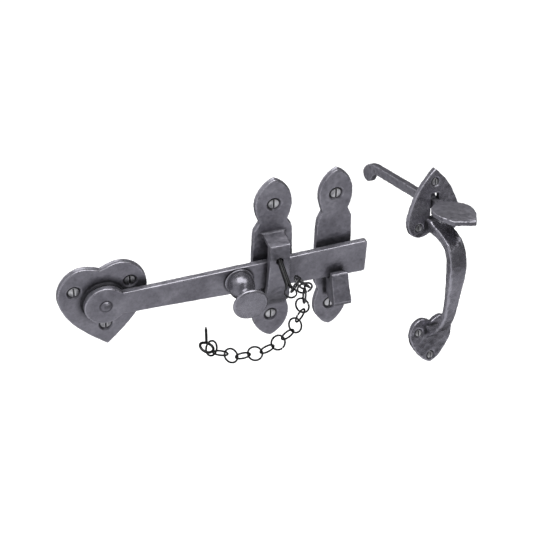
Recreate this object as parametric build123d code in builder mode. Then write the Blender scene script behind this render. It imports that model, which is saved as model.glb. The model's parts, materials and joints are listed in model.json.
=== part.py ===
from build123d import *
from math import asin, cos, radians, sin, sqrt
import os

os.makedirs("parts", exist_ok=True)

# Latch set for a gate: latch bar on its pivot plate, staple plate with its bow, keep plate with its hook,
# locking pin on a chain, and a handle with a thumb lever. Millimetres. +X runs along the latch bar,
# +Z is up, the front of the plates faces -Y and their backs lie at Y = 0. The bar pivots about the Y axis.

# ---------------- driving dimensions
PLATE_T = 4.4
EDGE_BEVEL = 0.5

HEART_HALF_W = 31.0
HEART_LOBE_TOP = 28.8
HEART_NOTCH = 25.0
HEART_TIP = 40.5
HEART_TURN = 2.0
HEART_HOLE_R = 22.3
BOSS_R = 15.2
BOSS_FRONT = 7.2

BAR_BACK = 7.35
BAR_FRONT = 12.0
BAR_LENGTH = 187.5
BAR_EYE_R = 15.0
BAR_ROOT_TOP = 8.8
BAR_ROOT_BOTTOM = -9.6
BAR_END_TOP = 13.3
BAR_END_BOTTOM = -13.9
BAR_BEVEL = 0.55
PIVOT_R = 3.0
PIVOT_BORE_R = 3.06
PIVOT_HEAD_R = 4.3
PIVOT_HEAD_H = 3.0

KNOB_X = 93.3
KNOB_BALL_R = 9.3
KNOB_BALL_D = 18.4
KNOB_DISC_R = 12.2
KNOB_FRONT = 39.4
KNOB_TAIL_R = 3.4
KNOB_TAIL_BORE_R = 3.45

STAPLE_X = 120.0
STAPLE_Z = 5.1
KEEP_X = 164.6
KEEP_Z = 4.6
STRAP_TIP = 69.2
STRAP_HOLE = 48.9
STAPLE_LOBE_W = 13.4
STAPLE_WAIST_W = 10.1
STAPLE_BODY_W = 14.3
KEEP_LOBE_W = 12.5
KEEP_WAIST_W = 9.6
KEEP_BODY_W = 12.9

BOW_TOP = 31.0
BOW_TOP_IN = 27.2
BOW_FRONT = 20.0
BOW_IN = 13.8
BOW_BOTTOM_IN = -17.2
BOW_BOTTOM = -25.5
BOW_FOOT = -36.0
BOW_TOP_HALF = 7.5
BOW_BOTTOM_HALF = 9.2

HOOK_X = 166.0
HOOK_TOP_HALF = 6.2
HOOK_BOTTOM_HALF = 7.0
HOOK_LEAN = 1.3
HOOK_TIP_Z = -6.0
HOOK_FLOOR = -13.9
HOOK_UNDER = -34.0
HOOK_IN = 13.3
HOOK_TIP_OUT = 19.4
HOOK_FOOT_OUT = 23.4

SCREW_HEAD_R = 4.15
SCREW_SINK_R = 5.3
SCREW_SHANK_R = 2.0
SCREW_HOLE_R = 2.55
SCREW_SUNK = 0.7
SCREW_TAIL = 12.0
SCREW_POINT = 3.5
SCREW_NECK = 0.4
SLOT_W = 1.2
SLOT_DEPTH = 1.3

PIN_DROOP = 20.7
PIN_HOLE_R = 2.35
PIN_R = 2.0
PIN_HOLE_Z = 16.6
PIN_TIP_BACK = 6.6
PIN_EYE_OUT = 24.4
PIN_EYE_R = 3.7
PIN_EYE_WIRE = 0.95

LINK_WIRE = 0.72
LINK_R = 5.5
LINK_PITCH = 9.0
LOOSE_PITCH = 7.25
LOOSE_LINKS = 5
LOOSE_START = 83.0
LOOSE_TURN = 24.0
LOOSE_SIDE = 44.5
LOOSE_TWIST = -10.0
CHAIN_START = 8.0
CHAIN_TURN = 14.0
CHAIN_TWIST = 22.0
CHAIN_LINKS = 11
LINK_FACING = (-0.25, -0.69, 0.68)
NAIL_LOOP_R = 5.0
NAIL_WIRE = 1.0
NAIL_SHANK = 15.0
NAIL_TILT = 20.0
NAIL_HOLD = -60.0
NAIL_SLACK = 1.8

HANDLE_AT = (236.9, 0.0, 58.0)
HANDLE_TILT = (-15.86, 3.12, 8.68)
HANDLE_T = 4.5
SLOT_TOP = -18.2
SLOT_BOTTOM = -35.6
SLOT_HALF = 3.1
HANDLE_TOTAL = 149.2
HANDLE_SCREW_HEAD_R = 2.8
HANDLE_SCREW_SINK_R = 3.6
HANDLE_SCREW_SHANK_R = 1.4
HANDLE_SCREW_HOLE_R = 1.95
HANDLE_SCREW_SUNK = 0.35
HANDLE_SCREW_TAIL = 7.5
HANDLE_SCREW_POINT = 2.3

LEVER_TOP = -22.5
LEVER_BOTTOM = -29.8
LEVER_HALF = 2.6
LEVER_HUB_R = 6.0
LEVER_HUB_Z = -24.5
LEVER_PIVOT_BACK = 3.4
LEVER_PIVOT_Z = -26.2
LEVER_PIN_R = 1.5
LEVER_BORE_R = 1.56
LUG_T = 2.6
LUG_R = 3.6
PRESS_OUT = 47.0


# ---------------- shared shapes
def front_plane(x, z, front):
    # Drawing plane facing the front, at a given distance in front of the door.
    return Plane(origin=(x, -front, z), x_dir=(1, 0, 0), z_dir=(0, -1, 0))


def side_plane(x):
    # Drawing plane seen from the +X side: its first axis is distance to the front, its second is height.
    return Plane(origin=(x, 0, 0), x_dir=(0, -1, 0), z_dir=(-1, 0, 0))


def closed_half(points):
    # Mirror a smooth half outline to its other side and fill it.
    with BuildLine() as outline:
        Spline(*points)
        mirror(about=Plane.YZ)
    make_face(outline.edges())


def front_edges(builder):
    face = builder.faces().sort_by(Axis.Y)[0]
    return face.outer_wire().edges()


def heart_half():
    # Right half of the heart, from the notch over the lobe to the tip.
    w = HEART_HALF_W
    notch = HEART_NOTCH
    top = HEART_LOBE_TOP
    tip = HEART_TIP
    return [(0, notch), (0.18 * w, top - 1.3), (0.46 * w, top), (0.80 * w, top - 5.6), (w, 9.5),
            (0.93 * w, -4.5), (0.66 * w, -19.5), (0.32 * w, -31.5), (0, -tip)]


def strap_half(lobe, waist, body):
    # Right half of a strap plate: leaf shaped ends, narrow waists, wider middle.
    tip = STRAP_TIP
    upper = [(0, tip), (0.36 * lobe, tip - 2.8), (0.69 * lobe, tip - 7.6), (0.92 * lobe, tip - 13.6),
             (lobe, tip - 20.0), (0.94 * lobe, tip - 27.0), (waist, tip - 34.5)]
    return upper, [(x, -z) for x, z in reversed(upper)], body


def strap_outline(lobe, waist, body):
    upper, lower, b = strap_half(lobe, waist, body)
    with BuildLine() as outline:
        Spline(*upper)
        Polyline(upper[-1], (b - 0.5, STRAP_TIP - 41.0), (b, STRAP_TIP - 45.0), (b + 0.5, 5),
                 (b, -STRAP_TIP + 45.0), (b - 0.5, -STRAP_TIP + 41.0), lower[0])
        Spline(*lower)
        mirror(about=Plane.YZ)
    make_face(outline.edges())


def dome_middle(edge_r, rise):
    # Point halfway along a round dome's profile: radius from its axis, height above its rim.
    big = (edge_r ** 2 + rise ** 2) / (2 * rise)
    half = asin(edge_r / big) / 2
    return big * sin(half), rise - big + big * cos(half)


def sink_hole(x, z, front, hole_r, sink_r):
    with Locations(front_plane(x, z, front)):
        CounterSinkHole(radius=hole_r, counter_sink_radius=sink_r, counter_sink_angle=90)


def screw_body(head_r, shank_r, head_front, tail, point, slot_w, slot_depth, axis_x, axis_z):
    # Slotted countersunk wood screw: its head face lies head_front in front of the door plane.
    # A slightly thicker neck fills the plate's hole and ends just behind the plate.
    neck_r = shank_r + SCREW_NECK
    cone = head_r - neck_r
    start = 0.2
    with BuildSketch(Plane(origin=(axis_x, 0, axis_z), x_dir=(1, 0, 0), z_dir=(0, 0, 1))) as profile:
        with BuildLine():
            Polyline((0, -head_front), (head_r - 0.3, -head_front), (head_r, -head_front + 0.3),
                     (neck_r, -head_front + cone + 0.3), (neck_r, start), (shank_r, start),
                     (shank_r, tail - point), (0.3, tail), (0, tail), close=True)
        make_face()
    revolve(profile.sketch, axis=Axis((axis_x, 0, axis_z), (0, 1, 0)))
    with Locations((axis_x, -head_front, axis_z)):
        Box(slot_w, 2 * slot_depth, 2 * head_r + 1, mode=Mode.SUBTRACT)


def unit(v):
    n = sqrt(sum(c * c for c in v))
    return tuple(c / n for c in v)


def square_to(v, along):
    # Part of v at right angles to a unit vector, made unit length.
    k = sum(a * b for a, b in zip(v, along))
    return unit(tuple(a - k * b for a, b in zip(v, along)))


def crossed(a, b):
    return (a[1] * b[2] - a[2] * b[1], a[2] * b[0] - a[0] * b[2], a[0] * b[1] - a[1] * b[0])


def save(builder, label):
    builder.part.label = label
    export_step(builder.part, "parts/" + label + ".step")


# ---------------- pivot plate
with BuildPart() as pivot_plate:
    with BuildSketch(Plane.XZ):
        closed_half(heart_half())
    extrude(amount=PLATE_T)
    chamfer(front_edges(pivot_plate), length=EDGE_BEVEL)
    with BuildSketch(front_plane(0, 0, PLATE_T - 0.5)):
        Circle(BOSS_R)
    extrude(amount=BOSS_FRONT - PLATE_T + 0.5)
    chamfer(pivot_plate.faces().sort_by(Axis.Y)[0].edges(), length=0.5)
    with Locations(front_plane(0, 0, BOSS_FRONT)):
        Hole(radius=PIVOT_R)
    for turn in (30, 150, 270):
        sink_hole(HEART_HOLE_R * cos(radians(turn)), HEART_HOLE_R * sin(radians(turn)), PLATE_T,
                  SCREW_HOLE_R, SCREW_SINK_R)
pivot_plate.part.location = Location((0, 0, 0), (0, -HEART_TURN, 0))
save(pivot_plate, "pivot_plate")

# ---------------- pivot rivet
with BuildPart() as pivot_rivet:
    with BuildSketch(Plane.XY):
        with BuildLine():
            Polyline((0, -BAR_FRONT - 0.15 - PIVOT_HEAD_H), (0, -0.4), (PIVOT_R, -0.4),
                     (PIVOT_R, -BAR_FRONT - 0.15),
                     (PIVOT_HEAD_R, -BAR_FRONT - 0.15))
            mid_r, mid_rise = dome_middle(PIVOT_HEAD_R, PIVOT_HEAD_H)
            ThreePointArc((PIVOT_HEAD_R, -BAR_FRONT - 0.15), (mid_r, -BAR_FRONT - 0.15 - mid_rise),
                          (0, -BAR_FRONT - 0.15 - PIVOT_HEAD_H))
        make_face()
    revolve(axis=Axis.Y)
save(pivot_rivet, "pivot_rivet")

# ---------------- latch bar
with BuildPart() as latch_bar:
    with BuildSketch(front_plane(0, 0, BAR_BACK)) as bar_outline:
        Circle(BAR_EYE_R)
        with BuildLine():
            Polyline((9.0, BAR_ROOT_TOP), (30.0, BAR_ROOT_TOP + 0.2), (BAR_LENGTH, BAR_END_TOP),
                     (BAR_LENGTH - 0.8, BAR_END_BOTTOM), (30.0, BAR_ROOT_BOTTOM - 0.4),
                     (9.0, BAR_ROOT_BOTTOM),
                     close=True)
        make_face()
        fillet(bar_outline.vertices().sort_by(Axis.X)[-2:], radius=2.2)
    extrude(amount=BAR_FRONT - BAR_BACK)
    chamfer(front_edges(latch_bar), length=BAR_BEVEL)
    with Locations(front_plane(0, 0, BAR_FRONT)):
        Hole(radius=PIVOT_BORE_R)
    with Locations(front_plane(KNOB_X, 0, BAR_FRONT)):
        Hole(radius=KNOB_TAIL_BORE_R)
save(latch_bar, "latch_bar")

# ---------------- bar knob
with BuildPart() as bar_knob:
    with BuildSketch(Plane(origin=(KNOB_X, 0, 0), x_dir=(1, 0, 0), z_dir=(0, 0, 1))):
        with BuildLine():
            foot = -BAR_FRONT - 0.05
            ball = -KNOB_BALL_D
            r = KNOB_BALL_R
            Polyline((0, -BAR_BACK - 0.2), (KNOB_TAIL_R, -BAR_BACK - 0.2), (KNOB_TAIL_R, foot),
                     (10.3, foot),
                     (10.3, foot - 1.1), (8.3, foot - 1.7))
            ThreePointArc((8.3, foot - 1.7), (r, ball), (0.5 * r, ball - 0.866 * r))
            Spline((0.5 * r, ball - 0.866 * r), (4.2, ball - 11.4), (5.4, ball - 15.2),
                   (10.4, ball - 17.6))
            Polyline((10.4, ball - 17.6), (KNOB_DISC_R, ball - 18.3), (KNOB_DISC_R, -KNOB_FRONT + 1.2),
                     (KNOB_DISC_R - 0.9, -KNOB_FRONT + 0.4))
            mid_r, mid_rise = dome_middle(KNOB_DISC_R - 0.9, 0.4)
            ThreePointArc((KNOB_DISC_R - 0.9, -KNOB_FRONT + 0.4), (mid_r, -KNOB_FRONT + 0.4 - mid_rise),
                          (0, -KNOB_FRONT))
            Line((0, -KNOB_FRONT), (0, -BAR_BACK - 0.2))
        make_face()
    revolve(axis=Axis((KNOB_X, 0, 0), (0, 1, 0)))
save(bar_knob, "bar_knob")

# ---------------- staple plate with its bow
with BuildPart() as staple_plate:
    with BuildSketch(front_plane(STAPLE_X, STAPLE_Z, 0)):
        strap_outline(STAPLE_LOBE_W, STAPLE_WAIST_W, STAPLE_BODY_W)
    extrude(amount=PLATE_T)
    chamfer(front_edges(staple_plate), length=EDGE_BEVEL)
    with BuildSketch(side_plane(STAPLE_X)) as bow_side:
        with BuildLine():
            Polyline((PLATE_T, BOW_FOOT), (PLATE_T, BOW_TOP + 1.0), (PLATE_T + 1.0, BOW_TOP),
                     (BOW_FRONT - 0.5, BOW_TOP - 0.6),
                     (BOW_FRONT, BOW_TOP - 1.1), (BOW_FRONT - 0.4, 5.0))
            Spline((BOW_FRONT - 0.4, 5.0), (BOW_FRONT - 1.3, BOW_BOTTOM + 15.0),
                   (BOW_FRONT - 3.6, BOW_BOTTOM + 6.5), (BOW_FRONT - 8.2, BOW_BOTTOM - 1.0),
                   (PLATE_T + 2.6, BOW_BOTTOM - 5.5), (PLATE_T, BOW_FOOT))
        make_face()
        with BuildLine():
            Polyline((PLATE_T, BOW_BOTTOM_IN), (PLATE_T, BOW_TOP_IN), (BOW_IN + 0.4, BOW_TOP_IN),
                     (BOW_IN, BOW_BOTTOM_IN + 2.0), (BOW_IN - 2.0, BOW_BOTTOM_IN), close=True)
        make_face(mode=Mode.SUBTRACT)
    extrude(amount=16, both=True)
    with BuildSketch(front_plane(STAPLE_X, 0, PLATE_T)):
        for s in (1, -1):
            with BuildLine():
                Polyline((s * (BOW_TOP_HALF + 3.5), 40), (s * (BOW_TOP_HALF + 3.5), BOW_TOP + 2),
                         (s * BOW_TOP_HALF, BOW_TOP - 1),
                         (s * BOW_TOP_HALF, 12), (s * BOW_BOTTOM_HALF, BOW_BOTTOM + 6),
                         (s * (BOW_BOTTOM_HALF + 0.3), BOW_FOOT - 1), (s * 20, BOW_FOOT - 1),
                         (s * 20, 40), close=True)
            make_face()
    extrude(amount=25, mode=Mode.SUBTRACT)
    for s in (1, -1):
        sink_hole(STAPLE_X, STAPLE_Z + s * STRAP_HOLE, PLATE_T, SCREW_HOLE_R, SCREW_SINK_R)
    pin_axis = (0, -cos(radians(PIN_DROOP)), -sin(radians(PIN_DROOP)))
    with Locations(Plane(origin=(STAPLE_X, -BOW_FRONT, PIN_HOLE_Z), x_dir=(1, 0, 0), z_dir=pin_axis)):
        Cylinder(radius=PIN_HOLE_R, height=16, mode=Mode.SUBTRACT)
save(staple_plate, "staple_plate")

# ---------------- keep plate with its hook
with BuildPart() as keep_plate:
    with BuildSketch(front_plane(KEEP_X, KEEP_Z, 0)):
        strap_outline(KEEP_LOBE_W, KEEP_WAIST_W, KEEP_BODY_W)
    extrude(amount=PLATE_T)
    chamfer(front_edges(keep_plate), length=EDGE_BEVEL)
    with BuildSketch(side_plane(HOOK_X)) as hook_side:
        with BuildLine():
            Polyline((PLATE_T, HOOK_FLOOR), (HOOK_IN - 1.6, HOOK_FLOOR), (HOOK_IN, HOOK_FLOOR + 1.6),
                     (HOOK_IN + 0.5, HOOK_TIP_Z - 1.2),
                     (HOOK_IN + 1.7, HOOK_TIP_Z), (HOOK_TIP_OUT - 1.2, HOOK_TIP_Z),
                     (HOOK_TIP_OUT, HOOK_TIP_Z - 1.2),
                     (HOOK_FOOT_OUT, HOOK_UNDER + 5.0), (HOOK_FOOT_OUT - 1.0, HOOK_UNDER + 1.6),
                     (HOOK_FOOT_OUT - 3.5, HOOK_UNDER), (PLATE_T, HOOK_UNDER), close=True)
        make_face()
    extrude(amount=14, both=True)
    with BuildSketch(front_plane(HOOK_X, 0, PLATE_T)):
        for s in (1, -1):
            with BuildLine():
                Polyline((s * HOOK_TOP_HALF - HOOK_LEAN, HOOK_TIP_Z + 3),
                         (s * HOOK_BOTTOM_HALF + HOOK_LEAN, HOOK_UNDER - 2),
                         (s * 20, HOOK_UNDER - 2), (s * 20, HOOK_TIP_Z + 3), close=True)
            make_face()
    extrude(amount=30, mode=Mode.SUBTRACT)
    for s in (1, -1):
        sink_hole(KEEP_X, KEEP_Z + s * STRAP_HOLE, PLATE_T, SCREW_HOLE_R, SCREW_SINK_R)
save(keep_plate, "keep_plate")

# ---------------- slotted screws of the three door plates
turned = [radians(a + HEART_TURN) for a in (30, 150, 270)]
plate_screws = [("pivot_screw_%d" % (i + 1), HEART_HOLE_R * cos(a), HEART_HOLE_R * sin(a)) for i,
                a in enumerate(turned)]
plate_screws += [("staple_screw_%d" % (i + 1), STAPLE_X, STAPLE_Z + s * STRAP_HOLE) for i,
                 s in enumerate((1, -1))]
plate_screws += [("keep_screw_%d" % (i + 1), KEEP_X, KEEP_Z + s * STRAP_HOLE) for i,
                 s in enumerate((1, -1))]
for screw_name, sx, sz in plate_screws:
    with BuildPart() as plate_screw:
        screw_body(SCREW_HEAD_R, SCREW_SHANK_R, PLATE_T - SCREW_SUNK, SCREW_TAIL, SCREW_POINT,
                   SLOT_W, SLOT_DEPTH, sx, sz)
    save(plate_screw, screw_name)

# ---------------- handle casting, drawn from its top tip, then placed
HANDLE_PLACE = Location(HANDLE_AT, HANDLE_TILT)
TOP_HOLES = ((0, -9.8), (-12.4, -42.0), (12.4, -42.0))
FOOT_HOLES = ((-10.5, -123.6), (10.5, -123.6), (0, -143.4))
GRIP = ((2.5, -41.4, 13.4, 10.0, 1, 0), (12.0, -41.7, 13.8, 8.0, 1, -0.12),
        (22.5, -44.2, 13.8, 7.2, 0.92, -0.39), (30.5, -49.6, 13.8, 7.3, 0.58, -0.81),
        (33.5, -58.0, 13.8, 7.5, 0.02, -1), (31.6, -78.5, 12.0, 6.4, -0.14, -0.99),
        (27.2, -98.5, 9.8, 5.4, -0.30, -0.95), (19.6, -113.4, 9.2, 5.2, -0.66, -0.75),
        (10.0, -121.0, 9.4, 6.0, -0.92, -0.40), (2.5, -123.4, 9.8, 8.6, -1, -0.08))

with BuildPart() as handle_casting:
    with BuildSketch(Plane.XZ):
        closed_half([(0, 0), (3.3, -2.9), (10.9, -11.6), (17.2, -23.0), (20.4, -32.0), (21.3, -39.5),
                     (19.4, -45.4),
                     (14.4, -49.2), (8.8, -49.6), (3.8, -47.8), (0, -45.6)])
    extrude(amount=HANDLE_T)
    chamfer(front_edges(handle_casting), length=EDGE_BEVEL)
    with BuildSketch(Plane.XZ):
        closed_half([(0, -116.6), (3.2, -114.4), (7.8, -113.2), (13.6, -116.0), (17.2, -123.0),
                     (16.6, -130.5),
                     (11.5, -139.6), (5.4, -146.2), (0, -HANDLE_TOTAL)])
    extrude(amount=HANDLE_T)
    foot_front = handle_casting.faces().filter_by(Axis.Y).sort_by(Axis.Y)[0:2].sort_by(Axis.Z)[0]
    chamfer(foot_front.outer_wire().edges(), length=EDGE_BEVEL)
    for out, height, wide, deep, run_out, run_up in GRIP:
        with BuildSketch(Plane(origin=(0, -out, height), x_dir=(1, 0, 0), z_dir=(0, -run_out, run_up))):
            RectangleRounded(wide, deep, 1.4)
    loft()
    with BuildSketch(Plane.XZ):
        with Locations((0, (SLOT_TOP + SLOT_BOTTOM) / 2)):
            Rectangle(2 * SLOT_HALF, SLOT_TOP - SLOT_BOTTOM)
    extrude(amount=HANDLE_T + 1, both=True, mode=Mode.SUBTRACT)
    for s in (1, -1):
        lug_plane = Plane(origin=(s * SLOT_HALF, 0, 0), x_dir=(0, 1, 0), z_dir=(s, 0, 0))
        with BuildSketch(lug_plane):
            with Locations((LEVER_PIVOT_BACK, s * LEVER_PIVOT_Z)):
                Circle(LUG_R)
            with Locations((LEVER_PIVOT_BACK / 2 - 0.5, s * LEVER_PIVOT_Z)):
                Rectangle(LEVER_PIVOT_BACK + 1.0, 2 * LUG_R)
        extrude(amount=LUG_T)
    with Locations(Location((0, LEVER_PIVOT_BACK, LEVER_PIVOT_Z), (0, 90, 0))):
        Cylinder(radius=LEVER_PIN_R, height=2 * (SLOT_HALF + LUG_T) + 2, mode=Mode.SUBTRACT)
    for hx, hz in TOP_HOLES + FOOT_HOLES:
        sink_hole(hx, hz, HANDLE_T, HANDLE_SCREW_HOLE_R, HANDLE_SCREW_SINK_R)
handle_casting.part.location = HANDLE_PLACE
save(handle_casting, "handle_casting")

for number, (hx, hz) in enumerate(TOP_HOLES + FOOT_HOLES):
    with BuildPart() as handle_screw:
        screw_body(HANDLE_SCREW_HEAD_R, HANDLE_SCREW_SHANK_R, HANDLE_T - HANDLE_SCREW_SUNK,
                   HANDLE_SCREW_TAIL, HANDLE_SCREW_POINT, SLOT_W - 0.3, SLOT_DEPTH - 0.3, hx, hz)
    handle_screw.part.location = HANDLE_PLACE
    save(handle_screw, "handle_screw_%d" % (number + 1))

# ---------------- thumb lever: press in front, tail and claw behind
with BuildPart() as thumb_lever:
    with BuildSketch(side_plane(0)):
        with BuildLine():
            Spline((3.0, LEVER_TOP), (15.0, LEVER_TOP + 0.4), (30.0, LEVER_TOP + 0.1),
                   (41.0, LEVER_TOP - 1.5),
                   (PRESS_OUT, LEVER_TOP - 3.6))
            Line((PRESS_OUT, LEVER_TOP - 3.6), (PRESS_OUT - 0.4, LEVER_TOP - 6.8))
            Spline((PRESS_OUT - 0.4, LEVER_TOP - 6.8), (40.0, LEVER_TOP - 4.9), (29.0, LEVER_TOP - 3.5),
                   (17.0, LEVER_TOP - 4.4), (3.0, LEVER_BOTTOM))
            Line((3.0, LEVER_BOTTOM), (3.0, LEVER_TOP))
        make_face()
    extrude(amount=17, both=True)
    with BuildSketch(Plane(origin=(0, 0, LEVER_BOTTOM - 2), x_dir=(1, 0, 0), z_dir=(0, 0, 1))):
        with BuildLine():
            Line((LEVER_HALF, -3.0), (LEVER_HALF, -6.5))
            Spline((LEVER_HALF, -6.5), (4.6, -10.5), (9.6, -15.0), (13.4, -20.5), (14.6, -28.0),
                   (13.0, -36.0), (9.4, -42.6))
            Polyline((9.4, -42.6), (7.6, -PRESS_OUT + 1.6), (5.8, -PRESS_OUT + 0.6), (-8.0, -42.6))
            Spline((-8.0, -42.6), (-12.4, -37.0), (-14.7, -28.0), (-13.4, -20.5), (-9.6, -15.0),
                   (-4.6, -10.5), (-LEVER_HALF, -6.5))
            Polyline((-LEVER_HALF, -6.5), (-LEVER_HALF, -3.0), (LEVER_HALF, -3.0))
        make_face()
    extrude(amount=14, mode=Mode.INTERSECT)
    with BuildSketch(side_plane(0)):
        with BuildLine():
            Line((8.0, LEVER_TOP), (-74.0, LEVER_TOP))
            Spline((-74.0, LEVER_TOP), (-81.5, -23.4), (-88.5, -26.6), (-92.4, -32.0), (-91.0, -36.4),
                   (-86.4, -38.5),
                   (-82.2, -37.2), (-79.2, -33.6), (-75.0, -30.6), (-69.0, LEVER_BOTTOM))
            Line((-69.0, LEVER_BOTTOM), (8.0, LEVER_BOTTOM))
            Line((8.0, LEVER_BOTTOM), (8.0, LEVER_TOP))
        make_face()
    extrude(amount=LEVER_HALF, both=True)
    with Locations(Location((0, LEVER_PIVOT_BACK, LEVER_HUB_Z), (0, 90, 0))):
        Cylinder(radius=LEVER_HUB_R, height=2 * LEVER_HALF)
    with Locations(Location((0, LEVER_PIVOT_BACK, LEVER_PIVOT_Z), (0, 90, 0))):
        Cylinder(radius=LEVER_BORE_R, height=4 * LEVER_HALF, mode=Mode.SUBTRACT)
thumb_lever.part.location = HANDLE_PLACE
save(thumb_lever, "thumb_lever")

with BuildPart() as lever_pin:
    with Locations(Location((0, LEVER_PIVOT_BACK, LEVER_PIVOT_Z), (0, 90, 0))):
        Cylinder(radius=LEVER_PIN_R, height=2 * (SLOT_HALF + LUG_T) - 0.2)
lever_pin.part.location = HANDLE_PLACE
save(lever_pin, "lever_pin")

# ---------------- locking pin: split pin with a ring eye
PIN_X_DIR = (1, 0, 0)
PIN_HOLE = (STAPLE_X, -BOW_FRONT, PIN_HOLE_Z)
PIN_EYE = tuple(h + PIN_EYE_OUT * a for h, a in zip(PIN_HOLE, pin_axis))
with BuildPart() as locking_pin:
    with Locations(Location(Plane(origin=PIN_EYE, x_dir=PIN_X_DIR, z_dir=crossed(PIN_X_DIR, pin_axis)))):
        Torus(PIN_EYE_R, PIN_EYE_WIRE)
    shaft = PIN_EYE_OUT - PIN_EYE_R + PIN_TIP_BACK
    middle = tuple(e - (PIN_EYE_R + shaft / 2) * a for e, a in zip(PIN_EYE, pin_axis))
    with Locations(Location(Plane(origin=middle, x_dir=PIN_X_DIR, z_dir=pin_axis))):
        Cylinder(radius=PIN_R, height=shaft)
save(locking_pin, "locking_pin")


# ---------------- links: a bunch at the pin's eye, then an even arc
def moved(point, direction, length):
    return tuple(p + length * d for p, d in zip(point, direction))


def loose_heading(number):
    # Direction from loose link `number` to the next one: over and down, in an upright plane turned
    # from the door.
    up = radians(LOOSE_START + LOOSE_TURN * number)
    side = radians(LOOSE_SIDE)
    return (sin(up) * cos(side), sin(up) * sin(side), cos(up))


def heading(number):
    # Direction from chain link `number` to the next one, in the upright plane of the chain.
    a = radians(CHAIN_START + CHAIN_TURN * number)
    return (-sin(a), 0, -cos(a))


def link_normal(before, after, face_on, twist=0.0):
    # Links lie in turn face on and edge on to the viewer, twisted a little about their own run.
    run = unit(tuple(a + b for a, b in zip(before, after)))
    straight = square_to(LINK_FACING, run)
    across = crossed(run, straight)
    facing = tuple(cos(radians(twist)) * a + sin(radians(twist)) * b for a, b in zip(straight, across))
    return facing if face_on else crossed(run, facing)


def ring(centre, normal, radius, wire):
    with Locations(Location(Plane(origin=centre, z_dir=normal))):
        Torus(radius, wire)


loose_at = [moved(PIN_EYE, loose_heading(0), PIN_EYE_R + LINK_R - PIN_EYE_WIRE - LINK_WIRE - 0.55)]
for number in range(1, LOOSE_LINKS + 1):
    loose_at.append(moved(loose_at[-1], loose_heading(number), LOOSE_PITCH))
for number, centre in enumerate(loose_at[:-1]):
    face_on = number % 2 == 1
    lie = link_normal(loose_heading(number), loose_heading(number + 1), face_on, LOOSE_TWIST)
    with BuildPart() as loose_link:
        ring(centre, lie, LINK_R, LINK_WIRE)
    save(loose_link, "loose_link_%d" % (number + 1))

link_at = [loose_at[-1]]
for number in range(CHAIN_LINKS - 1):
    link_at.append(moved(link_at[-1], heading(number), LINK_PITCH))
for number, centre in enumerate(link_at):
    before = heading(number - 1) if number else loose_heading(LOOSE_LINKS)
    with BuildPart() as chain_link:
        lie = link_normal(before, heading(number), number % 2 == 0, CHAIN_TWIST)
        ring(centre, lie, LINK_R, LINK_WIRE)
    save(chain_link, "chain_link_%02d" % (number + 1))

# ---------------- fixing nail at the chain's free end
nail_shank = unit((0.26, 0.96, 0.0))
nail_across = crossed(nail_shank, (0, 0, 1))
nail_tilt = radians(NAIL_TILT)
nail_lie = tuple(cos(nail_tilt) * u + sin(nail_tilt) * a for u, a in zip((0, 0, 1), nail_across))
last_run = heading(CHAIN_LINKS - 1)
last_lie = link_normal(heading(CHAIN_LINKS - 2), last_run, CHAIN_LINKS % 2 == 1, CHAIN_TWIST)
last_side = unit(crossed(last_lie, last_run))
hold = radians(NAIL_HOLD)
hold_way = tuple(cos(hold) * a + sin(hold) * b for a, b in zip(last_run, last_side))
nail_hold = moved(link_at[-1], hold_way, LINK_R - LINK_WIRE - NAIL_WIRE - NAIL_SLACK)
nail_at = moved(nail_hold, unit(crossed(last_lie, nail_lie)), NAIL_LOOP_R)
with BuildPart() as fixing_nail:
    ring(nail_at, nail_lie, NAIL_LOOP_R, NAIL_WIRE)
    nail_middle = moved(nail_at, nail_shank, NAIL_LOOP_R + NAIL_SHANK / 2)
    with Locations(Location(Plane(origin=nail_middle, z_dir=nail_shank))):
        Cylinder(radius=NAIL_WIRE, height=NAIL_SHANK)
    with Locations(Location(Plane(origin=moved(nail_at, nail_shank, NAIL_LOOP_R + NAIL_SHANK + 1.0),
                                  z_dir=nail_shank))):
        Cone(bottom_radius=NAIL_WIRE, top_radius=0.25, height=2.0)
save(fixing_nail, "fixing_nail")
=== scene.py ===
import json
import math

import bmesh
import bpy
import numpy as np
from mathutils import Matrix, Vector, noise
from mathutils.bvhtree import BVHTree


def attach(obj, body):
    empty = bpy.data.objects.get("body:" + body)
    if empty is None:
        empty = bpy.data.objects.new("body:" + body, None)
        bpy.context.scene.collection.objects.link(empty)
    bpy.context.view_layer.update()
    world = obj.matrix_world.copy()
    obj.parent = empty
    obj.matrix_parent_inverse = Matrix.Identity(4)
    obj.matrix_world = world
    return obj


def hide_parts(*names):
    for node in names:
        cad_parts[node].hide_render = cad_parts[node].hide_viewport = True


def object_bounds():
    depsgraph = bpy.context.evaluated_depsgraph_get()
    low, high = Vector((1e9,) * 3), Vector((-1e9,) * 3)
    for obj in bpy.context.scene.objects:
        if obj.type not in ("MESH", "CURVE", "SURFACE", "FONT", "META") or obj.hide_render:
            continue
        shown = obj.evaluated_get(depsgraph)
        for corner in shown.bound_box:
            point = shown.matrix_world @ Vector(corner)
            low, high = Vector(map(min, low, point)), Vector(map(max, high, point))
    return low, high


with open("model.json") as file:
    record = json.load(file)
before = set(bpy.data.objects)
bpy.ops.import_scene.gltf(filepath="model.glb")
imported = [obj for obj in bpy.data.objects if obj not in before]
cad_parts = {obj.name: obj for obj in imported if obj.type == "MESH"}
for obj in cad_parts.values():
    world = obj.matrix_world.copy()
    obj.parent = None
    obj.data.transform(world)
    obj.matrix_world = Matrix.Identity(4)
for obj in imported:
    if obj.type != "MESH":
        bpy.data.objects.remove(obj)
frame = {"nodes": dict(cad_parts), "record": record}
cad_lo, cad_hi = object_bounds()
nodes = frame["nodes"]
record = frame["record"]

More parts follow.
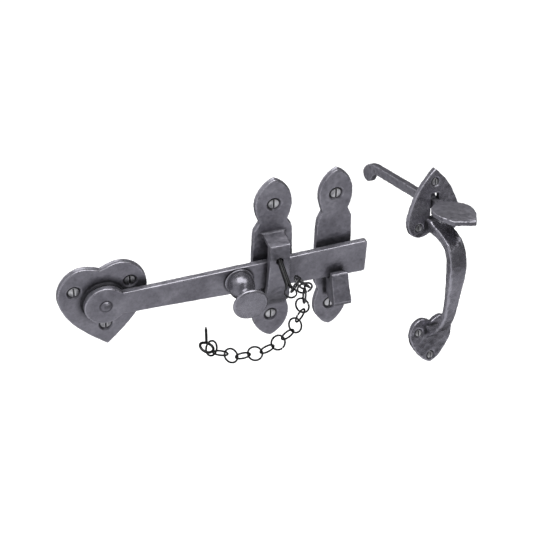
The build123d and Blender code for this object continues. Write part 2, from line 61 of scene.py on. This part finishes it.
# Camera: place in metres, angles in degrees, lens and sensor in millimetres.
CAMERA_AT = (-0.165277, -0.809002, 0.708055)
CAMERA_ANGLES = (-19.25, 39.67, 1.5)
CAMERA_LENS = 108.07
SENSOR_WIDTH = 36.0
CLIP_NEAR, CLIP_FAR = 0.05, 20.0

# Colours of the metals.
PEWTER_DARK = (0.150, 0.146, 0.168)
PEWTER_MID = (0.208, 0.203, 0.230)
PEWTER_LIGHT = (0.270, 0.264, 0.296)
PEWTER_WORN = (0.46, 0.45, 0.50)
# Painted shade colour: hollows and spots beside other pieces are darkened towards this.
PEWTER_PAINTED_SHADE = (0.010, 0.010, 0.012)
STEEL_DARK = (0.20, 0.20, 0.21)
STEEL_LIGHT = (0.62, 0.62, 0.63)
STEEL_WORN = (0.85, 0.85, 0.86)
# Painted shade colour for the screws' slots and rims.
STEEL_PAINTED_SHADE = (0.012, 0.012, 0.013)

# Mesh work, in metres unless it counts rounds of smoothing.
WELD_DISTANCE = 2e-6
CAST_VOXEL = 0.00042
KNOB_VOXEL = 0.00038
HANDLE_VOXEL = 0.00050
SCREW_VOXEL = 0.00020
WAVE_SIZE = 0.0110
RIPPLE_SIZE = 0.0032
DENT_CELL = 0.0046
DENT_REACH = 0.62
FLAT_BACK = 0.0008
FLAT_BACK_FADE = 0.0012
CLOSE_ROUNDS = 8
WIDE_ROUNDS = 36
EDGE_HEIGHT = 0.00009
# How deep a hollow must be for full painted shade; the bow's is deeper so its foot darkens less.
HOLLOW_DEPTH = 0.00042
BOW_HOLLOW_DEPTH = 0.00085
# How far the painted shade round each screw reaches.
SCREW_PAINTED_SHADE_REACH = 0.0010

# Screws: crown of the head, and how worn edges and the painted dark rim shade are found.
DOOR_SCREW_CROWN = 0.00055
HANDLE_SCREW_CROWN = 0.00035
SCREW_HEAD_DEPTH = 0.0012
SCREW_WEAR_AND_SHADE_HEIGHT = 0.00006
# Painted dark rim shade: where it starts on the head, how wide it is, and how dark.
RIM_START = 0.80
RIM_WIDTH = 0.12
RIM_PAINTED_SHADE = 0.95

# Bent wire.
LINK_R = 0.0055
LINK_WIRE_R = 0.00072
PIN_DROOP = math.radians(20.7)
PIN_EYE_R = 0.0037
PIN_LEG_R = 0.0020
PIN_EYE_WIRE_R = 0.00095
NAIL_LOOP_R = 0.0050
NAIL_WIRE_R = 0.0010
NAIL_WAY = (0.26, 0.96, 0.0)

# Studio.
TOP_LIGHT_OFFSET = (0.05, 0.15, 1.2)
TOP_LIGHT_SIZE = (1.8, 1.2)
TOP_LIGHT_POWER = 24.0
FLOOR_LIGHT_POWER = 20.0
FRONT_LIGHT_OFFSET = (0.30, -0.85, 0.85)
FRONT_LIGHT_SIZE = (0.26, 0.22)
FRONT_LIGHT_POWER = 0.8
FLOOR_DROP = 0.20
FLOOR_HALF = 4.0


# ---------------------------------------------------------------- camera
def set_camera():
    azimuth, elevation, roll = (math.radians(a) for a in CAMERA_ANGLES)
    level = math.cos(elevation)
    back = Vector((math.sin(azimuth) * level, -math.cos(azimuth) * level, math.sin(elevation)))
    right = Vector((math.cos(azimuth), math.sin(azimuth), 0.0))
    up = back.cross(right)
    side = right * math.cos(roll) + up * math.sin(roll)
    rise = up * math.cos(roll) - right * math.sin(roll)
    data = bpy.data.cameras.new("camera")
    data.sensor_width = SENSOR_WIDTH
    data.lens = CAMERA_LENS
    data.clip_start, data.clip_end = CLIP_NEAR, CLIP_FAR
    camera = bpy.data.objects.new("camera", data)
    turn = Matrix((side, rise, back)).transposed()
    camera.matrix_world = Matrix.Translation(Vector(CAMERA_AT)) @ turn.to_4x4()
    bpy.context.scene.collection.objects.link(camera)
    bpy.context.scene.camera = camera


set_camera()


# ---------------------------------------------------------------- materials
def new_material(name):
    material = bpy.data.materials.new(name)
    material.use_nodes = True
    tree = material.node_tree
    tree.nodes.clear()
    out = tree.nodes.new("ShaderNodeOutputMaterial")
    shader = tree.nodes.new("ShaderNodeBsdfPrincipled")
    tree.links.new(shader.outputs["BSDF"], out.inputs["Surface"])
    return material, tree, shader


def noise_node(tree, place, scale, detail, rough, distortion=0.0):
    node = tree.nodes.new("ShaderNodeTexNoise")
    node.inputs["Scale"].default_value = scale
    node.inputs["Detail"].default_value = detail
    node.inputs["Roughness"].default_value = rough
    node.inputs["Distortion"].default_value = distortion
    tree.links.new(place, node.inputs["Vector"])
    return node.outputs["Fac"]


def ramp(tree, source, stops):
    node = tree.nodes.new("ShaderNodeValToRGB")
    elements = node.color_ramp.elements
    while len(elements) < len(stops):
        elements.new(0.5)
    for element, (position, colour) in zip(elements, stops):
        element.position = position
        element.color = (*colour, 1.0)
    tree.links.new(source, node.inputs["Fac"])
    return node.outputs["Color"]


def spread(tree, source, low, high, to_low, to_high):
    node = tree.nodes.new("ShaderNodeMapRange")
    node.inputs["From Min"].default_value = low
    node.inputs["From Max"].default_value = high
    node.inputs["To Min"].default_value = to_low
    node.inputs["To Max"].default_value = to_high
    tree.links.new(source, node.inputs["Value"])
    return node.outputs["Result"]


def mix_colour(tree, kind, share, a, b):
    node = tree.nodes.new("ShaderNodeMix")
    node.data_type = "RGBA"
    node.blend_type = kind
    for socket, value in (("Factor", share), ("A", a), ("B", b)):
        target = [s for s in node.inputs if s.name == socket and s.enabled][0]
        if isinstance(value, (int, float)):
            target.default_value = value
        elif isinstance(value, tuple):
            target.default_value = (*value, 1.0)
        else:
            tree.links.new(value, target)
    return [s for s in node.outputs if s.enabled][0]


def maths(tree, operation, a, b, clamp=False):
    node = tree.nodes.new("ShaderNodeMath")
    node.operation = operation
    node.use_clamp = clamp
    for socket, value in zip(node.inputs, (a, b)):
        if isinstance(value, (int, float)):
            socket.default_value = value
        else:
            tree.links.new(value, socket)
    return node.outputs["Value"]


def bump(tree, shader, height, distance, strength):
    node = tree.nodes.new("ShaderNodeBump")
    node.inputs["Strength"].default_value = strength
    node.inputs["Distance"].default_value = distance
    tree.links.new(height, node.inputs["Height"])
    tree.links.new(node.outputs["Normal"], shader.inputs["Normal"])


def attribute(tree, name):
    node = tree.nodes.new("ShaderNodeAttribute")
    node.attribute_name = name
    return node.outputs["Fac"]


def object_place(tree):
    return tree.nodes.new("ShaderNodeTexCoord").outputs["Object"]


def pewter(name, seed, tone=1.0, gloss=0.0):
    # Antique pewter cast iron: mottled violet grey, bright where edges are worn, with painted shade near
    # black in hollows and beside other pieces.
    material, tree, shader = new_material(name)
    place = object_place(tree)
    shifted = tree.nodes.new("ShaderNodeMapping")
    shifted.inputs["Location"].default_value = (seed * 0.37, seed * 0.61, seed * 0.23)
    tree.links.new(place, shifted.inputs["Vector"])
    place = shifted.outputs["Vector"]
    broad = noise_node(tree, place, 55.0, 4.0, 0.60, 0.5)
    fine = noise_node(tree, place, 380.0, 5.0, 0.65, 0.2)
    grain = noise_node(tree, place, 1600.0, 3.0, 0.6)
    base = ramp(tree, broad, ((0.28, tuple(c * tone for c in PEWTER_DARK)),
                              (0.50, tuple(c * tone for c in PEWTER_MID)),
                              (0.70, tuple(c * tone for c in PEWTER_LIGHT))))
    speckle = ramp(tree, fine, ((0.32, (0.62, 0.62, 0.63)),
                                (0.50, (1.0, 1.0, 1.0)),
                                (0.68, (1.30, 1.30, 1.31))))
    base = mix_colour(tree, "MULTIPLY", 0.55, base, speckle)
    edge = attribute(tree, "edge")
    worn = spread(tree, maths(tree, "ADD", edge, maths(tree, "MULTIPLY", fine, 0.35)), 0.45, 0.95, 0.0, 1.0)
    base = mix_colour(tree, "MIX", maths(tree, "MULTIPLY", worn, 0.45), base, PEWTER_WORN)
    # Painted shade: hollows and spots beside other pieces darkened towards near black.
    painted_shade = attribute(tree, "painted_shade")
    base = mix_colour(tree, "MIX", maths(tree, "MULTIPLY", painted_shade, 0.92), base, PEWTER_PAINTED_SHADE)
    tree.links.new(base, shader.inputs["Base Color"])
    shader.inputs["Metallic"].default_value = 0.78
    rough = spread(tree, fine, 0.3, 0.7, 0.30 - gloss, 0.46 - gloss)
    rough = maths(tree, "SUBTRACT", rough, maths(tree, "MULTIPLY", worn, 0.08))
    rough = maths(tree, "ADD", rough, maths(tree, "MULTIPLY", painted_shade, 0.25))
    tree.links.new(rough, shader.inputs["Roughness"])
    height = maths(tree, "ADD", maths(tree, "MULTIPLY", fine, 0.75), maths(tree, "MULTIPLY", grain, 0.25))
    bump(tree, shader, height, 0.00025, 0.6)
    return material


def bright_steel(name):
    # Screw heads: mottled steel, bright on worn edges, with painted shade darkening the hollows.
    material, tree, shader = new_material(name)
    place = object_place(tree)
    fine = noise_node(tree, place, 520.0, 5.0, 0.7)
    broad = noise_node(tree, place, 160.0, 3.0, 0.5, 0.4)
    base = ramp(tree, broad, ((0.36, STEEL_DARK), (0.60, STEEL_LIGHT)))
    speckle = ramp(tree, fine, ((0.35, (0.6, 0.6, 0.6)), (0.6, (1.1, 1.1, 1.1))))
    base = mix_colour(tree, "MULTIPLY", 0.6, base, speckle)
    worn = maths(tree, "MULTIPLY", attribute(tree, "edge"), 0.6)
    base = mix_colour(tree, "MIX", worn, base, STEEL_WORN)
    # Painted shade: the slot and the rim of the head darkened.
    painted_shade = attribute(tree, "painted_shade")
    base = mix_colour(tree, "MIX", maths(tree, "MULTIPLY", painted_shade, 0.95), base, STEEL_PAINTED_SHADE)
    tree.links.new(base, shader.inputs["Base Color"])
    shader.inputs["Metallic"].default_value = 0.9
    tree.links.new(spread(tree, fine, 0.3, 0.7, 0.26, 0.42), shader.inputs["Roughness"])
    bump(tree, shader, fine, 0.0001, 0.5)
    return material


def black_wire(name, light, shine):
    # Blackened wire: light sets how dark the film is, shine how much bare metal shows.
    material, tree, shader = new_material(name)
    place = object_place(tree)
    fine = noise_node(tree, place, 700.0, 4.0, 0.65)
    broad = noise_node(tree, place, 120.0, 2.0, 0.5)
    low = tuple(c * light for c in (0.60, 0.60, 0.62))
    high = tuple(c * light for c in (1.5, 1.5, 1.55))
    base = ramp(tree, fine, ((0.35, low), (0.70, high)))
    patches = ramp(tree, broad, ((0.3, (0.7, 0.7, 0.7)), (0.7, (1.2, 1.2, 1.2))))
    base = mix_colour(tree, "MULTIPLY", 0.5, base, patches)
    tree.links.new(base, shader.inputs["Base Color"])
    shader.inputs["Metallic"].default_value = shine
    tree.links.new(spread(tree, fine, 0.3, 0.7, 0.30, 0.48), shader.inputs["Roughness"])
    bump(tree, shader, fine, 0.00008, 0.5)
    return material


looks = {
    "pewter_plate": pewter("pewter_plate_look", 1),
    "pewter_handle": pewter("pewter_handle_look", 2, 1.08, 0.12),
    "pewter_bar": pewter("pewter_bar_look", 3),
    "pewter_knob": pewter("pewter_knob_look", 4, 0.92, 0.13),
    "pewter_lever": pewter("pewter_lever_look", 5, 1.0, 0.05),
    "pewter_rivet": pewter("pewter_rivet_look", 6),
    "screw_steel": bright_steel("screw_steel_look"),
    "dark_wire": black_wire("dark_wire_look", 0.006, 0.12),
}
grey_wire = black_wire("grey_wire_look", 0.085, 0.90)
pin_wire = black_wire("pin_wire_look", 0.028, 0.85)


# ---------------------------------------------------------------- mesh work
def link(obj):
    bpy.context.scene.collection.objects.link(obj)
    return obj


def welded(node):
    # A copy of a CAD node's mesh with the corner copies joined.
    work = bmesh.new()
    work.from_mesh(nodes[node].data)
    bmesh.ops.remove_doubles(work, verts=work.verts, dist=WELD_DISTANCE)
    mesh = bpy.data.meshes.new(node + "_visual")
    work.to_mesh(mesh)
    work.free()
    return mesh


def evaluated(obj):
    depsgraph = bpy.context.evaluated_depsgraph_get()
    mesh = bpy.data.meshes.new_from_object(obj.evaluated_get(depsgraph))
    obj.modifiers.clear()
    obj.data = mesh


def points_of(mesh):
    co = np.empty(len(mesh.vertices) * 3)
    mesh.vertices.foreach_get("co", co)
    return co.reshape(-1, 3)


def normals_of(mesh):
    normal = np.empty(len(mesh.vertices) * 3)
    mesh.vertices.foreach_get("normal", normal)
    return normal.reshape(-1, 3)


def put_points(mesh, co):
    mesh.vertices.foreach_set("co", co.astype(np.float32).ravel())
    mesh.update()


def edges_of(mesh):
    ends = np.empty(len(mesh.edges) * 2, dtype=np.int64)
    mesh.edges.foreach_get("vertices", ends)
    return ends.reshape(-1, 2)


def smoothed(values, ends, rounds, step=0.5):
    # Plain neighbour averaging over the mesh's edges.
    count = len(values)
    a, b = ends[:, 0], ends[:, 1]
    degree = np.bincount(a, minlength=count) + np.bincount(b, minlength=count)
    degree = np.maximum(degree, 1)[:, None]
    out = values.copy()
    for _ in range(rounds):
        total = np.empty_like(out)
        for axis in range(out.shape[1]):
            total[:, axis] = (np.bincount(a, weights=out[b, axis], minlength=count)
                              + np.bincount(b, weights=out[a, axis], minlength=count))
        out += step * (total / degree - out)
    return out


def field(co, size, seed, kind):
    # Noise at each point: "soft" is -1..1, "cells" is the distance to the nearest of scattered points.
    shift = Vector((seed * 3.1, seed * 1.7, seed * 2.3))
    out = np.empty(len(co))
    for i, p in enumerate(co):
        at = Vector(p) / size + shift
        out[i] = noise.noise(at) if kind == "soft" else noise.voronoi(at)[0][0]
    return out


def add_attribute(mesh, name, values):
    layer = mesh.attributes.new(name, "FLOAT", "POINT")
    layer.data.foreach_set("value", values.astype(np.float32))


def edge_wear_and_painted_shade(mesh, near, hollow_depth):
    # Worn edges: points standing out of the shape close round them. Painted shade: points lying in a wider
    # hollow, or close to another piece, are marked to be darkened.
    co = points_of(mesh)
    ends = edges_of(mesh)
    normal = normals_of(mesh)
    close = smoothed(co, ends, CLOSE_ROUNDS)
    wide = smoothed(close, ends, WIDE_ROUNDS)
    edge = smoothed(((co - close) * normal).sum(1)[:, None], ends, 2)[:, 0]
    hollow = smoothed(((co - wide) * normal).sum(1)[:, None], ends, 3)[:, 0]
    add_attribute(mesh, "edge", np.clip(edge / EDGE_HEIGHT, 0, 1))
    add_attribute(mesh, "painted_shade", np.clip(np.maximum(-hollow / hollow_depth, near), 0, 1))


def nearness(co, pieces):
    # 1 where a point touches one of the given CAD pieces, falling to 0 at that piece's reach.
    out = np.zeros(len(co))
    for piece, reach, strength in pieces:
        other = nodes[piece].data
        tree = BVHTree.FromPolygons([v.co for v in other.vertices], [f.vertices for f in other.polygons])
        low, high = other_box(other, reach)
        inside = np.nonzero(((co > low) & (co < high)).all(1))[0]
        for i in inside:
            distance = tree.find_nearest(Vector(co[i]), reach)[3]
            if distance is not None:
                out[i] = max(out[i], strength * (1.0 - distance / reach) ** 1.5)
    return out


def other_box(mesh, reach):
    co = points_of(mesh)
    return co.min(0) - reach, co.max(0) + reach


def cast_piece(node, material, voxel, rounding, broad, dents, seed, keep_back=True, cell=DENT_CELL,
               near=(), hollow=HOLLOW_DEPTH):
    # A casting with soft edges. Forged waves `broad` deep and hammer dents `dents` deep are cut into
    # its surface.
    obj = link(bpy.data.objects.new(node + "_casting", welded(node)))
    remesh = obj.modifiers.new("remesh", "REMESH")
    remesh.mode = "VOXEL"
    remesh.voxel_size = voxel
    remesh.use_smooth_shade = True
    evaluated(obj)
    mesh = obj.data
    ends = edges_of(mesh)
    co = points_of(mesh)
    co = smoothed(co, ends, rounding)
    put_points(mesh, co)
    normal = normals_of(mesh)
    waves = field(co, WAVE_SIZE, seed, "soft")
    ripples = field(co, RIPPLE_SIZE, seed + 5, "soft")
    cells = field(co, cell, seed + 9, "cells")
    dent = 1.0 - np.clip(cells / DENT_REACH, 0, 1) ** 2
    depth = broad * (0.5 - 0.5 * waves) + dents * dent + 0.25 * dents * (1 - ripples)
    if keep_back:
        depth *= np.clip((-co[:, 1] - FLAT_BACK) / FLAT_BACK_FADE, 0, 1)
    depth = smoothed(depth[:, None], ends, 1)[:, 0]
    put_points(mesh, co - normal * depth[:, None])
    edge_wear_and_painted_shade(mesh, nearness(points_of(mesh), near), hollow)
    mesh.materials.clear()
    mesh.materials.append(looks[material])
    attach(obj, body_of[node])
    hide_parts(node)


body_of = {member: body
           for body, members in record["behaviour"]["bodies"].items() for member in members}


def screws_of(plate):
    # The painted shade round each screw of a plate: how far it reaches and how strong it is.
    screws = [name for name in sorted(nodes) if name.startswith(plate + "_screw_")]
    return tuple((name, SCREW_PAINTED_SHADE_REACH, 1.0) for name in screws)


# near: pieces beside which each casting gets painted shade, with its reach and strength.
cast_piece("pivot_plate", "pewter_plate", CAST_VOXEL, rounding=1, broad=0.00036, dents=0.00012, seed=1,
           near=(("latch_bar", 0.0065, 1.3),) + screws_of("pivot"))
cast_piece("staple_plate", "pewter_plate", CAST_VOXEL, rounding=1, broad=0.00050, dents=0.00022, seed=2,
           hollow=BOW_HOLLOW_DEPTH,
           near=(("latch_bar", 0.0060, 1.0), ("locking_pin", 0.0012, 0.9)) + screws_of("staple"))
cast_piece("keep_plate", "pewter_plate", CAST_VOXEL, rounding=1, broad=0.00050, dents=0.00020, seed=3,
           near=(("latch_bar", 0.0060, 1.0),) + screws_of("keep"))
cast_piece("latch_bar", "pewter_bar", CAST_VOXEL, rounding=1, broad=0.00030, dents=0.00010, seed=4,
           keep_back=False,
           near=(("bar_knob", 0.0016, 1.0), ("pivot_rivet", 0.0010, 0.9), ("staple_plate", 0.0040, 0.8),
                 ("keep_plate", 0.0030, 0.8)))
cast_piece("bar_knob", "pewter_knob", KNOB_VOXEL, rounding=2, broad=0.00006, dents=0.00003, seed=5,
           keep_back=False, near=(("latch_bar", 0.0014, 0.9),))
cast_piece("handle_casting", "pewter_handle", HANDLE_VOXEL, rounding=2, broad=0.00016, dents=0.00024,
           seed=6, cell=0.0050, near=(("thumb_lever", 0.0030, 0.9),) + screws_of("handle"))
cast_piece("thumb_lever", "pewter_lever", CAST_VOXEL, rounding=3, broad=0.00020, dents=0.00022, seed=7,
           keep_back=False, near=(("handle_casting", 0.0030, 0.9),))


# ---------------------------------------------------------------- screws, worn
def screw_piece(node, axis, crown):
    # Slotted screw whose head is crowned a little towards its middle, with painted shade in its slot and
    # round its rim.
    obj = link(bpy.data.objects.new(node + "_worn", welded(node)))
    remesh = obj.modifiers.new("remesh", "REMESH")
    remesh.mode = "VOXEL"
    remesh.voxel_size = SCREW_VOXEL
    remesh.use_smooth_shade = True
    evaluated(obj)
    mesh = obj.data
    ends = edges_of(mesh)
    co = smoothed(points_of(mesh), ends, 1)
    along = co @ axis
    middle = co[along > along.min() + 0.3 * (along.max() - along.min())].mean(0)
    away = co - middle
    away -= (away @ axis)[:, None] * axis
    radius = np.linalg.norm(away, axis=1)
    head = np.clip(1.0 - (along - along.min()) / SCREW_HEAD_DEPTH, 0, 1)
    co = co + (head * crown * (radius / radius.max()) ** 2)[:, None] * axis
    put_points(mesh, co)
    close = smoothed(co, ends, 10)
    offset = smoothed(((co - close) * normals_of(mesh)).sum(1)[:, None], ends, 1)[:, 0]
    # Painted shade: a dark ring round the outer rim of the head.
    rim = np.clip((radius / radius.max() - RIM_START) / RIM_WIDTH, 0, 1) * RIM_PAINTED_SHADE
    add_attribute(mesh, "edge", np.clip(offset / SCREW_WEAR_AND_SHADE_HEIGHT, 0, 1))
    add_attribute(mesh, "painted_shade", np.clip(np.maximum(-offset / SCREW_WEAR_AND_SHADE_HEIGHT, rim), 0, 1))
    mesh.materials.clear()
    mesh.materials.append(looks["screw_steel"])
    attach(obj, body_of[node])
    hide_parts(node)


door_axis = np.array((0.0, 1.0, 0.0))
handle_back = [m for m in record["mounts"] if m["name"] == "handle_upper_back"][0]
handle_axis = np.array(handle_back["axis"])
handle_axis /= np.linalg.norm(handle_axis)
for name in sorted(nodes):
    if "_screw_" in name:
        if name.startswith("handle"):
            screw_piece(name, handle_axis, HANDLE_SCREW_CROWN)
        else:
            screw_piece(name, door_axis, DOOR_SCREW_CROWN)


# ---------------------------------------------------------------- bent wire pieces
def frame_of_ring(node):
    # Centre, normal, and two in-plane directions of a CAD ring, from its points.
    co = points_of(nodes[node].data)
    centre = (co.min(0) + co.max(0)) / 2
    _, axes = np.linalg.eigh(np.cov((co - centre).T))
    return centre, axes[:, 0], axes[:, 1], axes[:, 2]


def directions_along(path):
    ahead = np.roll(path, -1, 0) - np.roll(path, 1, 0)
    ahead[0], ahead[-1] = path[1] - path[0], path[-1] - path[-2]
    return ahead / np.linalg.norm(ahead, axis=1)[:, None]


def path_edges(path):
    return np.stack([np.arange(len(path) - 1), np.arange(1, len(path))], 1)


def wire_mesh(name, path, up, outlines):
    # A wire with capped ends that follows path: one outline of (across, above) pairs for each path point.
    # up is square to the bend's plane.
    count = len(path)
    ahead = directions_along(path)
    across = np.cross(ahead, up)
    across /= np.linalg.norm(across, axis=1)[:, None]
    above = np.cross(across, ahead)
    sides = len(outlines[0])
    verts = np.concatenate([path[i] + outlines[i][:, :1] * across[i] + outlines[i][:, 1:] * above[i]
                            for i in range(count)])
    faces = []
    for i in range(count - 1):
        here, there = i * sides, (i + 1) * sides
        for k in range(sides):
            turn = (k + 1) % sides
            faces.append((here + k, there + k, there + turn, here + turn))
    faces.append(tuple(range(sides)))
    faces.append(tuple((count - 1) * sides + k for k in reversed(range(sides))))
    mesh = bpy.data.meshes.new(name)
    mesh.from_pydata([tuple(v) for v in verts], [], faces)
    work = bmesh.new()
    work.from_mesh(mesh)
    bmesh.ops.recalc_face_normals(work, faces=work.faces)
    work.to_mesh(mesh)
    work.free()
    for face in mesh.polygons:
        face.use_smooth = len(face.vertices) == 4
    return mesh


def round_outline(radius, sides=14):
    turn = np.linspace(0, 2 * np.pi, sides, endpoint=False)
    return np.stack([radius * np.cos(turn), radius * np.sin(turn)], 1)


def wire_piece(node, mesh, look):
    mesh.materials.append(look)
    obj = link(bpy.data.objects.new(node + "_wire", mesh))
    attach(obj, body_of[node])
    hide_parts(node)


def bent_link(node, seed, look, ring_r, wire_r):
    # Hand bent link: a slightly uneven oval whose cut ends meet at a butt joint.
    centre, normal, first, second = frame_of_ring(node)
    turn = np.linspace(0.035, 2 * np.pi - 0.035, 72)
    uneven = 0.10 * np.cos(2 * turn + seed) + 0.06 * np.cos(3 * turn + 2.1 * seed)
    radius = (ring_r - 0.00018) * (0.985 + 0.10 * (uneven - 0.16))
    skew = 0.00012 * np.sin(turn * 0.5)
    start = seed * 1.3
    ring = np.cos(turn + start)[:, None] * first + np.sin(turn + start)[:, None] * second
    path = centre + radius[:, None] * ring + (skew - 0.00006)[:, None] * normal
    ends = np.minimum(turn - turn[0], turn[-1] - turn)
    outlines = [round_outline(wire_r * (0.93 + 0.05 * min(1.0, e / 0.06)) * (0.99 + 0.02 * math.sin(9 * t)))
                for e, t in zip(ends, turn)]
    wire_piece(node, wire_mesh(node + "_wire", path, normal, outlines), look)


def split_pin(node, droop, eye_r, leg_r, eye_wire):
    # Split pin: one half round wire folded into an eye, its two legs lying flat to flat.
    co = points_of(nodes[node].data)
    axis = np.array((0.0, -math.cos(droop), -math.sin(droop)))
    side = np.array((1.0, 0.0, 0.0))
    normal = np.cross(side, axis)
    along = co @ axis
    middle = (co.min(0) + co.max(0)) / 2
    outer = along.max()
    eye = middle + ((outer - eye_r - eye_wire) - middle @ axis) * axis
    across_offset = (co - eye) @ normal
    eye = eye + normal * (across_offset.max() + across_offset.min()) / 2
    reach = eye @ axis - along.min()
    legs = np.linspace(-reach + 0.0003, -eye_r * 1.05, 30)
    bend = np.linspace(-0.78 * math.pi, 0.78 * math.pi, 44)
    left = [eye + a * axis + 0.00012 * side for a in legs]
    around = [eye + eye_r * (math.cos(b) * axis - math.sin(b) * side) for b in bend]
    right = [eye + a * axis - 0.00012 * side for a in legs[::-1]]
    path = np.array(left + around + right)
    path = smoothed(path, path_edges(path), 6)
    turn = np.linspace(0, math.pi, 11)
    outlines = []
    for point in path:
        gone = (point - eye) @ axis
        share = min(1.0, max(0.0, (-gone - eye_r * 0.7) / (eye_r * 0.5)))
        size = (leg_r - 0.00010) * share + eye_wire * (1 - share)
        tip = min(1.0, 0.55 + (gone + reach) / 0.0035)
        size *= tip
        outlines.append(np.stack([size * np.sin(turn), size * np.cos(turn)], 1))
    wire_piece(node, wire_mesh(node + "_wire", path, normal, outlines), pin_wire)


def ring_nail(node, ring_r, wire_r):
    # Nail bent from one wire: a loop drawn to a blunt point where the wire comes round to the shank.
    co = points_of(nodes[node].data)
    shank = np.array(NAIL_WAY)
    shank /= np.linalg.norm(shank)
    along = co @ shank
    loop = co[along < along.min() + 2 * (ring_r + wire_r)]
    centre = (loop.min(0) + loop.max(0)) / 2
    _, axes = np.linalg.eigh(np.cov((loop - loop.mean(0)).T))
    normal = axes[:, 0]
    side = np.cross(normal, shank)
    turn = np.linspace(0.10, 2 * math.pi - 0.12, 60)
    pinch = 1.0 - 0.10 * np.clip(np.cos(turn), 0, 1) ** 2 - 0.03 * np.cos(3 * turn)
    radius = (ring_r - 0.00008) * np.minimum(pinch, 1.0)
    ring = np.cos(turn)[:, None] * shank + np.sin(turn)[:, None] * side
    round_path = centre + radius[:, None] * ring
    length = along.max() - (centre @ shank)
    straight = np.array([centre + a * shank for a in np.linspace(ring_r * 0.98, length - 0.0002, 30)])
    path = np.concatenate([round_path[::-1], straight])
    path = smoothed(path, path_edges(path), 3)
    outlines = []
    for point in path:
        left = length - (point - centre) @ shank
        outlines.append(round_outline((wire_r - 0.00004) * min(1.0, 0.15 + left / 0.0045)))
    wire_piece(node, wire_mesh(node + "_wire", path, normal, outlines), looks["dark_wire"])


loose_names = sorted(n for n in nodes if n.startswith("loose_link"))
chain_names = sorted(n for n in nodes if n.startswith("chain_link"))
for seed, name in enumerate(loose_names, 1):
    bent_link(name, seed, grey_wire, LINK_R, LINK_WIRE_R)
for seed, name in enumerate(chain_names, 8):
    bent_link(name, seed, looks["dark_wire"], LINK_R, LINK_WIRE_R)
split_pin("locking_pin", PIN_DROOP, PIN_EYE_R, PIN_LEG_R, PIN_EYE_WIRE_R)
ring_nail("fixing_nail", NAIL_LOOP_R, NAIL_WIRE_R)

for node, mesh_object in nodes.items():
    if mesh_object.hide_render:
        continue
    slot_name = [s["material_slot"] for s in record["subparts"] if s["node"] == node][0]
    mesh_object.data.materials.clear()
    mesh_object.data.materials.append(looks[slot_name])


# ---------------------------------------------------------------- studio
def area_light(name, place, aim, size, power):
    data = bpy.data.lights.new(name, "AREA")
    data.shape = "RECTANGLE"
    data.size, data.size_y = size
    data.energy = power
    lamp = link(bpy.data.objects.new(name, data))
    lamp.location = Vector(place)
    lamp.rotation_mode = "QUATERNION"
    lamp.rotation_quaternion = (Vector(aim) - Vector(place)).to_track_quat("-Z", "Y")
    return lamp


def set_world():
    world = bpy.data.worlds.new("studio")
    world.use_nodes = True
    tree = world.node_tree
    tree.nodes.clear()
    out = tree.nodes.new("ShaderNodeOutputWorld")
    background = tree.nodes.new("ShaderNodeBackground")
    split = tree.nodes.new("ShaderNodeSeparateXYZ")
    tree.links.new(tree.nodes.new("ShaderNodeTexCoord").outputs["Generated"], split.inputs["Vector"])
    front = spread(tree, split.outputs["Y"], 0.10, -0.70, 0.0, 1.0)
    low = spread(tree, split.outputs["Z"], -0.12, -0.58, 0.10, 1.0)
    high = spread(tree, split.outputs["Z"], 0.30, 0.70, 0.0, 0.16)
    left = spread(tree, split.outputs["X"], -0.36, -0.70, 0.0, 0.70)
    level = maths(tree, "MULTIPLY", front, maths(tree, "ADD", low, high))
    level = maths(tree, "ADD", maths(tree, "ADD", level, left), 0.035, clamp=True)
    shade = ramp(tree, level, ((0.0, (0.0, 0.0, 0.0)), (1.0, (0.96, 0.96, 1.0))))
    tree.links.new(shade, background.inputs["Color"])
    background.inputs["Strength"].default_value = 1.0
    tree.links.new(background.outputs["Background"], out.inputs["Surface"])
    bpy.context.scene.world = world


def floor_material():
    material, tree, shader = new_material("pale_floor")
    place = object_place(tree)
    patches = noise_node(tree, place, 3.0, 3.0, 0.5)
    shade = ramp(tree, patches, ((0.3, (0.95, 0.95, 0.95)), (0.7, (0.98, 0.98, 0.98))))
    tree.links.new(shade, shader.inputs["Base Color"])
    shader.inputs["Roughness"].default_value = 0.9
    return material


def floor_piece():
    work = bmesh.new()
    bmesh.ops.create_grid(work, x_segments=12, y_segments=12, size=FLOOR_HALF)
    mesh = bpy.data.meshes.new("floor")
    work.to_mesh(mesh)
    work.free()
    mesh.materials.append(floor_material())
    floor = link(bpy.data.objects.new("floor", mesh))
    floor.location = (centre.x, centre.y, cad_lo.z - FLOOR_DROP)
    floor.visible_glossy = False


centre = (cad_lo + cad_hi) / 2
set_world()
floor_piece()
top_place = centre + Vector(TOP_LIGHT_OFFSET)
front_place = centre + Vector(FRONT_LIGHT_OFFSET)
area_light("top_soft", top_place, centre, TOP_LIGHT_SIZE, TOP_LIGHT_POWER)
# This one lights the floor to white and leaves the metal's reflections alone.
floor_soft = area_light("floor_soft", top_place, centre, TOP_LIGHT_SIZE, FLOOR_LIGHT_POWER)
floor_soft.visible_glossy = False
area_light("front_soft", front_place, centre, FRONT_LIGHT_SIZE, FRONT_LIGHT_POWER)

bpy.context.scene.view_settings.view_transform = "Standard"
